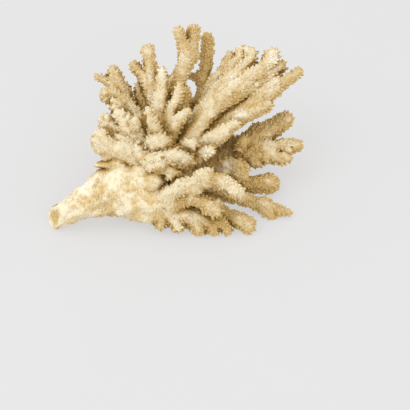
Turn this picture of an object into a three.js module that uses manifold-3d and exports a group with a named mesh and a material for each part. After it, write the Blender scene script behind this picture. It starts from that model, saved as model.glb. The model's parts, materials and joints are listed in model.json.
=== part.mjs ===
// A branching table coral, broken off its rock and lying on its side.
//
// A short thick stem, cut flat at one end, swells into a knobbly heart. Every main branch that leaves
// the heart is one solid of its own. Lengths are millimetres.
//
// The colony is set out in its growth frame: the origin is the middle of the flat cut, x runs along
// the stem towards the far branch tips, y runs up the fan of branches and z runs out of the fan's face.
// It is then laid back on its side, as it rests, with its lowest points on z = 0.
import * as THREE from 'three';
import { mergeVertices } from 'three/addons/utils/BufferGeometryUtils.js';
import Module from 'manifold-3d';

const LAY_BACK = THREE.MathUtils.degToRad(50); // how far the fan is tipped back from upright
const GAP = 0.3; // room left between one solid and the next
const CUT_FACING = new THREE.Vector3(-0.8, -0.15, 0.58).normalize(); // the flat cut faces this way
const TRUNK_SIDES = 12;
const STOUT_SIDES = 7;
const SLIM_SIDES = 6;
const STOUT_RADIUS = 8.2; // twigs thicker than this get STOUT_SIDES
const TRUNK_RADIUS = 15; // parts thicker than this get TRUNK_SIDES
const TIP_SHOULDER = Math.SQRT1_2; // a round tip is drawn with one ring half way round it
const FINE_TIP = 3; // tips thinner than this come straight to their point
const WELD = 1e-3;

// Every twig: the limb it belongs to, then its stations from root to tip as [x, y, z, radius].
// The last radius is that of the round tip. Radii reach the tops of the little cups.
const TWIGS = [
  // The stem from the cut to the heart, the heart's masses, and the knobs on them.
  ["trunk", [-12, -6, 0, 8.2], [0, 0, 0, 8.5], [12, 5, 0, 9.9], [24, 11.2, -1, 12.3], [36, 16.9, -3, 16.4],
    [50, 23, -6, 20], [66, 30, -9, 20.5], [82, 38, -14, 17], [98, 45, -19, 13]],
  ["trunk", [60, 34, -11, 17], [72, 46, -16, 14], [84, 56, -20, 10]],
  ["trunk", [50, 19, -3, 16], [66, 10.5, 0, 14.5], [81, 6.5, 2, 11.5]],
  ["trunk", [80, 30, -12, 15], [98, 30, -18, 11]],
  ["trunk", [38.5, 18, 6, 5], [39.5, 17.5, 14.2, 2.8]],
  ["trunk", [64, 32, 3, 9], [66, 34, 12.5, 6.4]],
  ["trunk", [50, 30, 3, 8], [51, 33, 12, 6]],
  ["trunk", [40, 26, 0, 8], [36, 35, 0, 4.5]],
  ["trunk", [50, 32, 2, 8], [45, 45, 4, 5]],
  ["trunk", [46, 35, 3, 5], [38, 38, 4, 3], [30, 38.5, 5, 1.6]],
  ["trunk", [72, 27, 3, 9], [76, 23, 13, 7]],
  // The left side of the fan.
  ["left_fork", [70, 50, -22, 8], [59, 75, -30, 6.2], [49.5, 92, -36, 5], [43.5, 100, -39, 4.5],
    [35, 104, -42, 3.6], [26.5, 107.5, -44, 2.2]],
  ["left_fork", [49.5, 94, -36, 5], [44.5, 104, -37, 5], [39.8, 115, -39, 5]],
  ["left_horn", [70, 52, -12, 8], [60, 74, -18, 6.5], [51, 84, -20, 6], [42, 90, -20, 5.5],
    [32.5, 89.5, -19, 5.2]],
  ["left_horn", [50, 84, -18, 5], [44, 80, -10, 4.5]],
  ["left_shoulder", [72, 48, -4, 9], [60, 58, -3, 8.8], [50, 62.5, -4, 7.2], [42, 67, -5, 5.6],
    [33, 67.5, -6, 5]],
  ["left_shoulder", [46, 66, -4, 5], [36.5, 73.5, -5, 2.6]],
  ["left_shoulder", [58, 60, 0, 7], [52, 70, 4, 5.5], [48, 77, 4, 3]],
  ["left_stub", [66, 42, 2, 9], [52, 48, 8, 8], [43, 50, 9, 6.5], [36, 52.5, 10, 6.5], [28.5, 53, 11, 5.6]],
  ["left_stub", [37, 54, 10, 5], [32.5, 61, 9, 2.4]],
  // The crown.
  ["crown_finger", [78, 54, -16, 7], [74, 84, -24, 6], [69.5, 98, -27, 5.2], [62.5, 108.5, -31, 4.7],
    [54.5, 117, -34, 4]],
  ["crown_finger", [76, 52, -22, 7], [66.5, 82, -32, 6], [62.5, 93, -35, 4.8], [60, 102, -38, 2.5]],
  ["crown_club", [81, 52, -14, 7], [76, 88, -20, 6], [72.7, 104, -25, 5.2], [69.2, 117, -28, 5.3],
    [67.4, 131, -30, 5.8]],
  ["crown_spike", [81, 52, -10, 8], [78, 80, -10, 7.4], [79, 97, -13, 5.8], [79, 112.5, -15, 2.4]],
  ["crown_spike", [82, 86, -15, 6], [85, 106, -20, 3.6]],
  ["crown_tall", [86, 52, -16, 8], [86, 86, -22, 7.4], [91.5, 104, -28, 6.8], [97.5, 119, -32, 6.3],
    [101, 131, -35, 6], [102.5, 146.5, -38, 4.8]],
  ["crown_tall", [98, 121, -32, 5.6], [93.5, 133, -29, 4.5], [89.5, 143.5, -27, 4.2]],
  ["crown_back", [90, 52, -22, 8], [107.5, 88, -38, 5.8], [110.4, 103, -44, 5.3], [112, 120, -49, 5.4],
    [112.7, 141.5, -54, 5.2]],
  ["crown_back", [110, 102, -44, 4], [103, 107, -45, 3], [95.5, 107, -46, 2.4]],
  ["middle_spur", [82, 50, -8, 8], [85, 74, -3, 5.5], [90, 88, -5, 4.6], [93, 101, -8, 2.5]],
  ["middle_thumb", [83, 56, -6, 7], [92, 72, 2, 5], [101, 80, 2, 3.8]],
  ["middle_twin", [90, 54, -14, 7], [96, 82, -20, 5], [96.5, 98, -24, 3.8]],
  // The right side of the fan.
  ["fan_back", [92, 50, -20, 9], [108, 81, -30, 7.5], [119, 100, -35, 6.8], [127, 113, -38, 5.2],
    [131, 125.5, -42, 3.8]],
  ["fan_back", [120, 98, -34, 6], [130, 110, -34, 5.5], [137, 120, -36, 4.6], [140, 128, -38, 4]],
  ["great_bough", [96, 52, -6, 8], [105, 66, -9, 8], [115, 79, -14, 8], [130, 93, -20, 7.5],
    [146, 106, -26, 7], [159, 116.5, -31, 5.2], [164.5, 127, -34, 4.2]],
  ["great_bough", [126, 85, -22, 6.5], [141, 95, -26, 6.6], [154.5, 103.5, -30, 5.9],
    [163, 110, -34, 4.8], [168.5, 116, -37, 4]],
  ["great_bough", [98, 58, -12, 7.5], [112, 82, -18, 7.5], [128, 101, -25, 7], [139, 112, -30, 5.5],
    [145, 119, -33, 4], [147, 126.5, -35, 2.6]],
  ["fan_under", [98, 48, -26, 8], [114, 68, -34, 8], [132, 84, -38, 7.5], [148, 96, -41, 6.5],
    [160, 105, -43, 5]],
  ["long_finger", [100, 46, -14, 8], [113, 60, -18, 7.5], [128.5, 73, -22, 7.2], [142, 82, -24, 6.8],
    [154, 89.5, -26, 6.4], [167, 98.5, -29, 5.6], [175, 104.5, -31, 4.6], [184.5, 111.3, -33, 3.5]],
  ["long_finger", [112, 60, -16, 6.5], [128, 69.5, -18, 6], [142, 76.5, -21, 5.3], [153, 81.5, -23, 5],
    [161.5, 86.5, -25, 3.8]],
  ["middle_arm", [100, 47, -8, 8], [118, 59.5, -7, 6.2], [129, 66, -7, 5.2], [137, 70.5, -8, 3.8]],
  ["middle_arm", [114, 57, -5, 5], [128, 63, -3, 2.8]],
  ["right_bough", [98, 37, -26, 9], [118, 42, -34, 8.5], [138, 52.5, -40, 9.4], [155.5, 63, -45, 9],
    [168.5, 71, -49, 7.2], [175.5, 79.5, -53, 5.2]],
  ["right_prong", [134, 50, -38, 9], [152, 52, -38, 7.5], [168, 53, -38, 6], [186, 54, -38, 5.7]],
  ["right_prong", [140, 48, -36, 7], [158, 47.5, -34, 6], [166, 45, -33, 4.3], [173, 43.5, -32, 2.8]],
  ["right_prong", [136, 52, -30, 5], [139, 57, -19, 2.6]],
  ["right_knob", [114, 38, -28, 8], [132, 37, -18, 8], [141, 30, -11, 6]],
  ["right_prong", [146, 47, -34, 5], [150.5, 41, -30, 3.4]],
  ["right_club", [98, 30, -18, 9], [126, 25, -25, 7.5], [142, 24, -28, 6.8], [156.5, 25, -30, 8.3],
    [167.5, 24.8, -31, 9]],
  ["low_finger", [98, 28, -16, 8], [128, 16, -17, 6], [144, 12, -16.6, 5.3], [158, 7.3, -15.6, 5],
    [176, 2.8, -13.6, 2.6]],
  ["low_finger", [154, 9, -15, 4], [161, -1, -12.4, 2.5]],
  ["low_spur", [90, 16, -4, 8], [122, 5, -5, 6], [136, -3, -2, 5.6], [147, -10, 2, 4.8]],
  ["low_spur", [138, -1, -2, 3.5], [147.5, -4.5, 0, 1.8]],
  // The front, low down.
  ["front_bough", [80, 14, 6, 8], [92, 21, 14, 6.5], [105, 26, 19, 6.3], [115.5, 31.5, 21, 5.8]],
  ["front_bough", [110, 28, 18, 5.4], [119, 27, 17, 5], [129, 22, 16, 5], [140, 16, 15, 4.4]],
  ["front_spur", [84, 9, 4, 8], [99, 14, 10, 6], [109, 12, 12, 5.2], [116, 6.5, 13, 5],
    [122.5, 1, 13, 4.6]],
  ["front_spur", [114, 6, 10, 4.4], [121, 10, 12, 3.2]],
  ["foot_cluster", [80, 6, 0, 9], [98, 0, 0, 7], [105, -6, 2, 5.6], [108, -14, 4.6, 4.2]],
  ["foot_cluster", [96, 2, 0, 7], [112, -3, 0.5, 6], [119, -13, 3.4, 4.2]],
  ["foot_cluster", [110, 0, -1, 6], [123, -5, 0.5, 5.4], [130, -12, 3.4, 4.2]],
  ["foot_cluster", [84, 3, 2, 7], [90.5, -6, 4, 4.8], [93, -11.5, 5, 3.8]],
  ["foot_cluster", [76, 5, 3, 7], [78.5, -3.5, 4, 4.5], [77, -9.5, 5, 3.4]],
  // The knobs that cover the heart's face.
  ["heart_upper", [68, 50, 2, 9], [82, 54, 3, 9]],
  ["heart_upper", [77, 54, 0, 7], [73, 67, 8, 5.4], [69, 80, 8, 3.5]],
  ["heart_upper", [70, 54, -1, 7], [62, 65, 3, 6], [59, 70, 12, 5]],
  ["heart_upper", [75, 50, 0, 8.5], [73, 57, 16, 7]],
  ["heart_upper", [79, 52, 0, 8], [82, 57, 16, 6.6]],
  ["heart_lower", [66, 41, 6, 8.5], [82, 42, 9, 9.5], [98, 45, 6, 8.5]],
  ["heart_lower", [67, 43, 4, 7.5], [61, 49, 17, 5]],
  ["heart_lower", [72, 41, 5, 7.5], [68, 43.5, 17, 6.4]],
  ["heart_lower", [79, 40, 6, 7.5], [77, 37.5, 17.5, 6.2]],
  ["heart_lower", [88, 42, 6, 7.5], [88, 46, 22, 5.4]],
  ["heart_lower", [94, 42, 4, 8], [98, 43, 20, 6.4]],
  ["heart_lower", [96, 46, 0, 7], [102.5, 56, 17, 5.2]],
  ["heart_lower", [100, 44, 2, 7], [111, 47, 10, 5.4], [118.5, 47.5, 12, 3.8]],
  ["heart_lower", [84, 36, 4, 8], [88.5, 30, 19, 5.6]],
  // The back, which carries the colony on two feet.
  ["back_crown", [84, 46, -24, 9], [88, 72, -52, 7], [84, 94, -68, 4.5]],
  ["back_crown", [88, 72, -52, 5.5], [102, 90, -64, 3.8]],
  ["back_left", [68, 42, -24, 9], [58, 62, -46, 7], [48, 80, -58, 4.5]],
  ["back_left", [60, 62, -44, 5.5], [44, 66, -50, 3.8]],
  ["back_right", [94, 44, -28, 9], [116, 62, -58, 7], [128, 78, -70, 4.5]],
  ["back_right", [112, 58, -54, 5.5], [130, 62, -62, 3.8]],
  ["back_foot_left", [70, 34, -24, 9], [66, 49, -55, 7], [60, 50, -72, 4.5]],
  ["back_foot_right", [94, 36, -26, 9], [112, 48, -58, 7], [118, 57, -77.6, 4.5]],
];

const wasm = await Module();
wasm.setup();
const { Manifold, Mesh } = wasm;

function layDown([x, y, z]) {
  return new THREE.Vector3(x, y, z).applyAxisAngle(new THREE.Vector3(1, 0, 0), LAY_BACK);
}

function sidesFor(stations) {
  const thickest = Math.max(...stations.map((station) => station[3]));
  if (thickest > TRUNK_RADIUS) return TRUNK_SIDES;
  return thickest > STOUT_RADIUS ? STOUT_SIDES : SLIM_SIDES;
}

// Half the outline of a straight twig standing on y: radius out, station number up, round at the top.
function outline(stations, swell) {
  const last = stations.length - 1;
  const tip = stations[last][3] + swell;
  const span = layDown(stations[last]).distanceTo(layDown(stations[last - 1]));
  const shoulder = Math.min(tip / span, 0.9);
  const points = [new THREE.Vector2(0, 0)];
  for (let i = 0; i < last; i += 1) {
    points.push(new THREE.Vector2(stations[i][3] + swell, i));
  }
  points.push(new THREE.Vector2(tip, last - shoulder + swell / span));
  if (stations[last][3] > FINE_TIP) {
    const height = last - shoulder * (1 - TIP_SHOULDER) + swell / span;
    points.push(new THREE.Vector2(tip * TIP_SHOULDER, height));
  }
  points.push(new THREE.Vector2(0, last + swell / span));
  return points;
}

// Directions across the curve at each height of the outline, turning as little as possible on the way.
function framesAlong(curve, heights, last) {
  const frames = new Map();
  let across = new THREE.Vector3(0, 0, 1);
  for (const height of heights) {
    const t = Math.min(height / last, 1);
    const along = curve.getTangent(t);
    const beyond = Math.max(height - last, 0) * lastSpan(curve);
    const centre = curve.getPoint(t).addScaledVector(along, beyond);
    across = across.clone().addScaledVector(along, -across.dot(along)).normalize();
    frames.set(height.toFixed(4), { centre, across, other: across.clone().cross(along) });
  }
  return frames;
}

function lastSpan(curve) {
  const points = curve.points;
  return points[points.length - 1].distanceTo(points[points.length - 2]);
}

function twig(stations, swell) {
  const curve = new THREE.CatmullRomCurve3(stations.map(layDown), false, 'catmullrom', 0.5);
  const points = outline(stations, swell);
  const frames = framesAlong(curve, points.map((point) => point.y), stations.length - 1);
  const geometry = new THREE.LatheGeometry(points, sidesFor(stations));
  const position = geometry.attributes.position;
  for (let i = 0; i < position.count; i += 1) {
    const frame = frames.get(position.getY(i).toFixed(4));
    const place = frame.centre.clone();
    place.addScaledVector(frame.across, position.getX(i));
    place.addScaledVector(frame.other, position.getZ(i));
    position.setXYZ(i, place.x, place.y, place.z);
  }
  return toSolid(geometry);
}

function toSolid(geometry) {
  geometry.deleteAttribute('normal');
  geometry.deleteAttribute('uv');
  const welded = mergeVertices(geometry, WELD);
  const triangles = [];
  const index = welded.index.array;
  for (let i = 0; i < index.length; i += 3) {
    const corners = [index[i], index[i + 1], index[i + 2]];
    if (new Set(corners).size === 3) triangles.push(...corners);
  }
  return new Manifold(new Mesh({
    numProp: 3,
    vertProperties: new Float32Array(welded.attributes.position.array),
    triVerts: new Uint32Array(triangles),
  }));
}

function limbSolid(name, swell) {
  const rows = TWIGS.filter((row) => row[0] === name);
  return Manifold.union(rows.map((row) => twig(row.slice(1), swell)));
}

function cutFlat(solid) {
  const inward = CUT_FACING.clone().negate().applyAxisAngle(new THREE.Vector3(1, 0, 0), LAY_BACK);
  return solid.trimByPlane(inward.toArray(), 0);
}

function largestPiece(solid) {
  const pieces = solid.decompose();
  return pieces.reduce((best, piece) => (piece.volume() > best.volume() ? piece : best));
}

// The limbs in order: each is cut back, with GAP to spare, where it meets those before it.
function carve() {
  const names = [...new Set(TWIGS.map((row) => row[0]))];
  const solids = new Map();
  let taken = null;
  for (const name of names) {
    let solid = limbSolid(name, 0);
    if (taken) solid = solid.subtract(taken);
    if (name === 'trunk') solid = cutFlat(solid);
    solids.set(name, largestPiece(solid));
    const room = limbSolid(name, GAP);
    taken = taken ? taken.add(room) : room;
  }
  return solids;
}

function toGeometry(solid) {
  const mesh = solid.getMesh();
  const geometry = new THREE.BufferGeometry();
  geometry.setAttribute('position', new THREE.BufferAttribute(mesh.vertProperties, 3));
  geometry.setIndex(new THREE.BufferAttribute(mesh.triVerts, 1));
  return geometry;
}

const SHADES = [0xeadfc6, 0xdcc79c, 0xd2b886, 0xc9ac78]; // cream at the stem to tan at the branches

const coral = new THREE.Group();
coral.name = 'branching_coral';
let shade = 0;
for (const [name, solid] of carve()) {
  const colour = name === 'trunk' ? SHADES[0] : SHADES[1 + (shade % 3)];
  const material = new THREE.MeshStandardMaterial({ color: colour, roughness: 0.9, metalness: 0 });
  const mesh = new THREE.Mesh(toGeometry(solid), material);
  mesh.name = name;
  coral.add(mesh);
  shade += 1;
}

// The origin goes under the middle of the whole, on the floor.
const bounds = new THREE.Box3().setFromObject(coral);
const middle = bounds.getCenter(new THREE.Vector3());
for (const mesh of coral.children) mesh.geometry.translate(-middle.x, -middle.y, -bounds.min.z);

export default coral;
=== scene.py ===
"""A branching coral skeleton lying on its side: its cups, worn stem and cut face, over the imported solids.

Shapes are worked out in the growth frame, in millimetres: the origin is the middle of the flat cut, x runs
along the stem, y up the fan of branches and z out of the fan's face. Laying the colony on its side turns that
frame about x, and the record's mount on the cut says where the origin comes to rest.
"""

import json
import math

import bpy
import numpy as np
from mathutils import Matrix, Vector


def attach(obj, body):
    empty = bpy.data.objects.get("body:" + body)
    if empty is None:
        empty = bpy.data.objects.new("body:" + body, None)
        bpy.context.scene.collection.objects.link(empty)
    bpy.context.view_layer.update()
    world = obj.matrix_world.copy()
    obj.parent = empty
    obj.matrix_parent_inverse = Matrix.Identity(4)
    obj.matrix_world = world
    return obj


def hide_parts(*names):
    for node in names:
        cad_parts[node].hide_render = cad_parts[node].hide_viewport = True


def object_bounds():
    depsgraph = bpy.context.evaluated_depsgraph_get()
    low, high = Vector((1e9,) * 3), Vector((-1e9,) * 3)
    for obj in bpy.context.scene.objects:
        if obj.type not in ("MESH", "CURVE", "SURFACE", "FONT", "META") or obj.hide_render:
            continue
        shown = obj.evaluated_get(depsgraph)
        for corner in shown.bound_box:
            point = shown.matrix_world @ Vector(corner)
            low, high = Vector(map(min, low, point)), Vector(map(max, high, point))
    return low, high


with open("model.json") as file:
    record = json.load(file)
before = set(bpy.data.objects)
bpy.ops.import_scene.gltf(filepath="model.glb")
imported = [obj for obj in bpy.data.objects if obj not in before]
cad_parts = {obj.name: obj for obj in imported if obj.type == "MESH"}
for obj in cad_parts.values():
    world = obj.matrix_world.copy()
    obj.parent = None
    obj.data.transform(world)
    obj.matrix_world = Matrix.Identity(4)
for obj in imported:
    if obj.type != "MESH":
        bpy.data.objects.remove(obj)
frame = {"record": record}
CAD_BOX = [list(corner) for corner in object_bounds()]
CUT_CENTRE = np.array(frame["record"]["mounts"][0]["pos_m"])
CUT_FACING = np.array([-0.8, -0.15, 0.58]) / np.linalg.norm([-0.8, -0.15, 0.58])
LAY_BACK = math.radians(50)
MM = 0.001
SEED = 7

# Each twig: its limb, then its stations from root to tip as [x, y, z, radius out to the tops of the cups].
TWIGS = [
    # The stem from the cut to the heart, the heart's masses, and the knobs on them.
    ["trunk", [-12, -6, 0, 8.2], [0, 0, 0, 8.5], [12, 5, 0, 9.9], [24, 11.2, -1, 12.3], [36, 16.9, -3, 16.4],
     [50, 23, -6, 20], [66, 30, -9, 20.5], [82, 38, -14, 17], [98, 45, -19, 13]],
    ["trunk", [60, 34, -11, 17], [72, 46, -16, 14], [84, 56, -20, 10]],
    ["trunk", [50, 19, -3, 16], [66, 10.5, 0, 14.5], [81, 6.5, 2, 11.5]],
    ["trunk", [80, 30, -12, 15], [98, 30, -18, 11]],
    ["trunk", [38.5, 18, 6, 5], [39.5, 17.5, 14.2, 2.8]],
    ["trunk", [64, 32, 3, 9], [66, 34, 12.5, 6.4]],
    ["trunk", [50, 30, 3, 8], [51, 33, 12, 6]],
    ["trunk", [40, 26, 0, 8], [36, 35, 0, 4.5]],
    ["trunk", [50, 32, 2, 8], [45, 45, 4, 5]],
    ["trunk", [46, 35, 3, 5], [38, 38, 4, 3], [30, 38.5, 5, 1.6]],
    ["trunk", [72, 27, 3, 9], [76, 23, 13, 7]],
    # The left side of the fan.
    ["left_fork", [70, 50, -22, 8], [59, 75, -30, 6.2], [49.5, 92, -36, 5], [43.5, 100, -39, 4.5],
     [35, 104, -42, 3.6], [26.5, 107.5, -44, 2.2]],
    ["left_fork", [49.5, 94, -36, 5], [44.5, 104, -37, 5], [39.8, 115, -39, 5]],
    ["left_horn", [70, 52, -12, 8], [60, 74, -18, 6.5], [51, 84, -20, 6], [42, 90, -20, 5.5],
     [32.5, 89.5, -19, 5.2]],
    ["left_horn", [50, 84, -18, 5], [44, 80, -10, 4.5]],
    ["left_shoulder", [72, 48, -4, 9], [60, 58, -3, 8.8], [50, 62.5, -4, 7.2], [42, 67, -5, 5.6],
     [33, 67.5, -6, 5]],
    ["left_shoulder", [46, 66, -4, 5], [36.5, 73.5, -5, 2.6]],
    ["left_shoulder", [58, 60, 0, 7], [52, 70, 4, 5.5], [48, 77, 4, 3]],
    ["left_stub", [66, 42, 2, 9], [52, 48, 8, 8], [43, 50, 9, 6.5], [36, 52.5, 10, 6.5], [28.5, 53, 11, 5.6]],
    ["left_stub", [37, 54, 10, 5], [32.5, 61, 9, 2.4]],
    # The crown.
    ["crown_finger", [78, 54, -16, 7], [74, 84, -24, 6], [69.5, 98, -27, 5.2], [62.5, 108.5, -31, 4.7],
     [54.5, 117, -34, 4]],
    ["crown_finger", [76, 52, -22, 7], [66.5, 82, -32, 6], [62.5, 93, -35, 4.8], [60, 102, -38, 2.5]],
    ["crown_club", [81, 52, -14, 7], [76, 88, -20, 6], [72.7, 104, -25, 5.2], [69.2, 117, -28, 5.3],
     [67.4, 131, -30, 5.8]],
    ["crown_spike", [81, 52, -10, 8], [78, 80, -10, 7.4], [79, 97, -13, 5.8], [79, 112.5, -15, 2.4]],
    ["crown_spike", [82, 86, -15, 6], [85, 106, -20, 3.6]],
    ["crown_tall", [86, 52, -16, 8], [86, 86, -22, 7.4], [91.5, 104, -28, 6.8], [97.5, 119, -32, 6.3],
     [101, 131, -35, 6], [102.5, 146.5, -38, 4.8]],
    ["crown_tall", [98, 121, -32, 5.6], [93.5, 133, -29, 4.5], [89.5, 143.5, -27, 4.2]],
    ["crown_back", [90, 52, -22, 8], [107.5, 88, -38, 5.8], [110.4, 103, -44, 5.3], [112, 120, -49, 5.4],
     [112.7, 141.5, -54, 5.2]],
    ["crown_back", [110, 102, -44, 4], [103, 107, -45, 3], [95.5, 107, -46, 2.4]],
    ["middle_spur", [82, 50, -8, 8], [85, 74, -3, 5.5], [90, 88, -5, 4.6], [93, 101, -8, 2.5]],
    ["middle_thumb", [83, 56, -6, 7], [92, 72, 2, 5], [101, 80, 2, 3.8]],
    ["middle_twin", [90, 54, -14, 7], [96, 82, -20, 5], [96.5, 98, -24, 3.8]],
    # The right side of the fan.
    ["fan_back", [92, 50, -20, 9], [108, 81, -30, 7.5], [119, 100, -35, 6.8], [127, 113, -38, 5.2],
     [131, 125.5, -42, 3.8]],
    ["fan_back", [120, 98, -34, 6], [130, 110, -34, 5.5], [137, 120, -36, 4.6], [140, 128, -38, 4]],
    ["great_bough", [96, 52, -6, 8], [105, 66, -9, 8], [115, 79, -14, 8], [130, 93, -20, 7.5],
     [146, 106, -26, 7], [159, 116.5, -31, 5.2], [164.5, 127, -34, 4.2]],
    ["great_bough", [126, 85, -22, 6.5], [141, 95, -26, 6.6], [154.5, 103.5, -30, 5.9],
     [163, 110, -34, 4.8], [168.5, 116, -37, 4]],
    ["great_bough", [98, 58, -12, 7.5], [112, 82, -18, 7.5], [128, 101, -25, 7], [139, 112, -30, 5.5],
     [145, 119, -33, 4], [147, 126.5, -35, 2.6]],
    ["fan_under", [98, 48, -26, 8], [114, 68, -34, 8], [132, 84, -38, 7.5], [148, 96, -41, 6.5],
     [160, 105, -43, 5]],
    ["long_finger", [100, 46, -14, 8], [113, 60, -18, 7.5], [128.5, 73, -22, 7.2], [142, 82, -24, 6.8],
     [154, 89.5, -26, 6.4], [167, 98.5, -29, 5.6], [175, 104.5, -31, 4.6], [184.5, 111.3, -33, 3.5]],
    ["long_finger", [112, 60, -16, 6.5], [128, 69.5, -18, 6], [142, 76.5, -21, 5.3], [153, 81.5, -23, 5],
     [161.5, 86.5, -25, 3.8]],
    ["middle_arm", [100, 47, -8, 8], [118, 59.5, -7, 6.2], [129, 66, -7, 5.2], [137, 70.5, -8, 3.8]],
    ["middle_arm", [114, 57, -5, 5], [128, 63, -3, 2.8]],
    ["right_bough", [98, 37, -26, 9], [118, 42, -34, 8.5], [138, 52.5, -40, 9.4], [155.5, 63, -45, 9],
     [168.5, 71, -49, 7.2], [175.5, 79.5, -53, 5.2]],
    ["right_prong", [134, 50, -38, 9], [152, 52, -38, 7.5], [168, 53, -38, 6], [186, 54, -38, 5.7]],
    ["right_prong", [140, 48, -36, 7], [158, 47.5, -34, 6], [166, 45, -33, 4.3], [173, 43.5, -32, 2.8]],
    ["right_prong", [136, 52, -30, 5], [139, 57, -19, 2.6]],
    ["right_knob", [114, 38, -28, 8], [132, 37, -18, 8], [141, 30, -11, 6]],
    ["right_prong", [146, 47, -34, 5], [150.5, 41, -30, 3.4]],
    ["right_club", [98, 30, -18, 9], [126, 25, -25, 7.5], [142, 24, -28, 6.8], [156.5, 25, -30, 8.3],
     [167.5, 24.8, -31, 9]],
    ["low_finger", [98, 28, -16, 8], [128, 16, -17, 6], [144, 12, -16.6, 5.3], [158, 7.3, -15.6, 5],
     [176, 2.8, -13.6, 2.6]],
    ["low_finger", [154, 9, -15, 4], [161, -1, -12.4, 2.5]],
    ["low_spur", [90, 16, -4, 8], [122, 5, -5, 6], [136, -3, -2, 5.6], [147, -10, 2, 4.8]],
    ["low_spur", [138, -1, -2, 3.5], [147.5, -4.5, 0, 1.8]],
    # The front, low down.
    ["front_bough", [80, 14, 6, 8], [92, 21, 14, 6.5], [105, 26, 19, 6.3], [115.5, 31.5, 21, 5.8]],
    ["front_bough", [110, 28, 18, 5.4], [119, 27, 17, 5], [129, 22, 16, 5], [140, 16, 15, 4.4]],
    ["front_spur", [84, 9, 4, 8], [99, 14, 10, 6], [109, 12, 12, 5.2], [116, 6.5, 13, 5],
     [122.5, 1, 13, 4.6]],
    ["front_spur", [114, 6, 10, 4.4], [121, 10, 12, 3.2]],
    ["foot_cluster", [80, 6, 0, 9], [98, 0, 0, 7], [105, -6, 2, 5.6], [108, -14, 4.6, 4.2]],
    ["foot_cluster", [96, 2, 0, 7], [112, -3, 0.5, 6], [119, -13, 3.4, 4.2]],
    ["foot_cluster", [110, 0, -1, 6], [123, -5, 0.5, 5.4], [130, -12, 3.4, 4.2]],
    ["foot_cluster", [84, 3, 2, 7], [90.5, -6, 4, 4.8], [93, -11.5, 5, 3.8]],
    ["foot_cluster", [76, 5, 3, 7], [78.5, -3.5, 4, 4.5], [77, -9.5, 5, 3.4]],
    # The knobs that cover the heart's face.
    ["heart_upper", [68, 50, 2, 9], [82, 54, 3, 9]],
    ["heart_upper", [77, 54, 0, 7], [73, 67, 8, 5.4], [69, 80, 8, 3.5]],
    ["heart_upper", [70, 54, -1, 7], [62, 65, 3, 6], [59, 70, 12, 5]],
    ["heart_upper", [75, 50, 0, 8.5], [73, 57, 16, 7]],
    ["heart_upper", [79, 52, 0, 8], [82, 57, 16, 6.6]],
    ["heart_lower", [66, 41, 6, 8.5], [82, 42, 9, 9.5], [98, 45, 6, 8.5]],
    ["heart_lower", [67, 43, 4, 7.5], [61, 49, 17, 5]],
    ["heart_lower", [72, 41, 5, 7.5], [68, 43.5, 17, 6.4]],
    ["heart_lower", [79, 40, 6, 7.5], [77, 37.5, 17.5, 6.2]],
    ["heart_lower", [88, 42, 6, 7.5], [88, 46, 22, 5.4]],
    ["heart_lower", [94, 42, 4, 8], [98, 43, 20, 6.4]],
    ["heart_lower", [96, 46, 0, 7], [102.5, 56, 17, 5.2]],
    ["heart_lower", [100, 44, 2, 7], [111, 47, 10, 5.4], [118.5, 47.5, 12, 3.8]],
    ["heart_lower", [84, 36, 4, 8], [88.5, 30, 19, 5.6]],
    # The back, which carries the colony on two feet.
    ["back_crown", [84, 46, -24, 9], [88, 72, -52, 7], [84, 94, -68, 4.5]],
    ["back_crown", [88, 72, -52, 5.5], [102, 90, -64, 3.8]],
    ["back_left", [68, 42, -24, 9], [58, 62, -46, 7], [48, 80, -58, 4.5]],
    ["back_left", [60, 62, -44, 5.5], [44, 66, -50, 3.8]],
    ["back_right", [94, 44, -28, 9], [116, 62, -58, 7], [128, 78, -70, 4.5]],
    ["back_right", [112, 58, -54, 5.5], [130, 62, -62, 3.8]],
    ["back_foot_left", [70, 34, -24, 9], [66, 49, -55, 7], [60, 50, -72, 4.5]],
    ["back_foot_right", [94, 36, -26, 9], [112, 48, -58, 7], [118, 57, -77.6, 4.5]],
]

# How far each limb has turned from cream to tan: partly its own tone, partly painted shade, as limbs that lie
# behind, underneath or low in the shade of others are given more.
TAN = {
    "trunk": 0.29, "left_fork": 0.45, "left_horn": 0.36, "left_shoulder": 0.2, "left_stub": 0.2,
    "crown_finger": 0.5, "crown_club": 0.52, "crown_spike": 0.35, "crown_tall": 0.42, "crown_back": 0.68,
    "middle_spur": 0.35, "middle_thumb": 0.3, "middle_twin": 0.45, "middle_arm": 0.3,
    "fan_back": 0.5, "fan_under": 0.7, "great_bough": 0.36, "long_finger": 0.5,
    "right_bough": 0.56, "right_prong": 0.5, "right_knob": 0.55, "right_club": 0.64,
    "low_finger": 0.62, "low_spur": 0.5, "front_bough": 0.26, "front_spur": 0.4, "foot_cluster": 0.5,
    "heart_upper": 0.24, "heart_lower": 0.22,
}
TAN_BEHIND = 0.46  # limbs at the back
TAN_AT_ROOT, TAN_TO_TIP = 0.8, 0.35  # share of that tan at the root, and how much comes on top by the tip
PAINTED_LIGHT, PAINTED_LIGHT_ON_STEM = 0.42, 0.1  # painted light: tan taken from the side that faces the light and added on the side turned away, on limbs and on the stem
PAINTED_LIGHT_NEUTRAL = 0.45  # how far a place faces the light where the painted light leaves its tan as it is
FACING_AWAY = -0.25  # the least that a place counts as facing the light, for the painted light
SHADE_REACHES = 7.0, 14.0  # distances towards the light at which a limb in front of a place casts painted shade on it
# tan added where that painted shade falls
SHADED_TAN = 0.4
SHADE_STOPS = 0.6  # share of the painted light that the painted shade takes away

# The share of the cups' height that wear has left, where it isn't all of it.
LEFT_OF_CUPS = {
    "trunk": 0.4, "front_bough": 0.9,
    "middle_arm": 0.85, "middle_spur": 0.85, "middle_thumb": 0.85, "left_stub": 0.9, "left_shoulder": 0.9,
}

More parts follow.
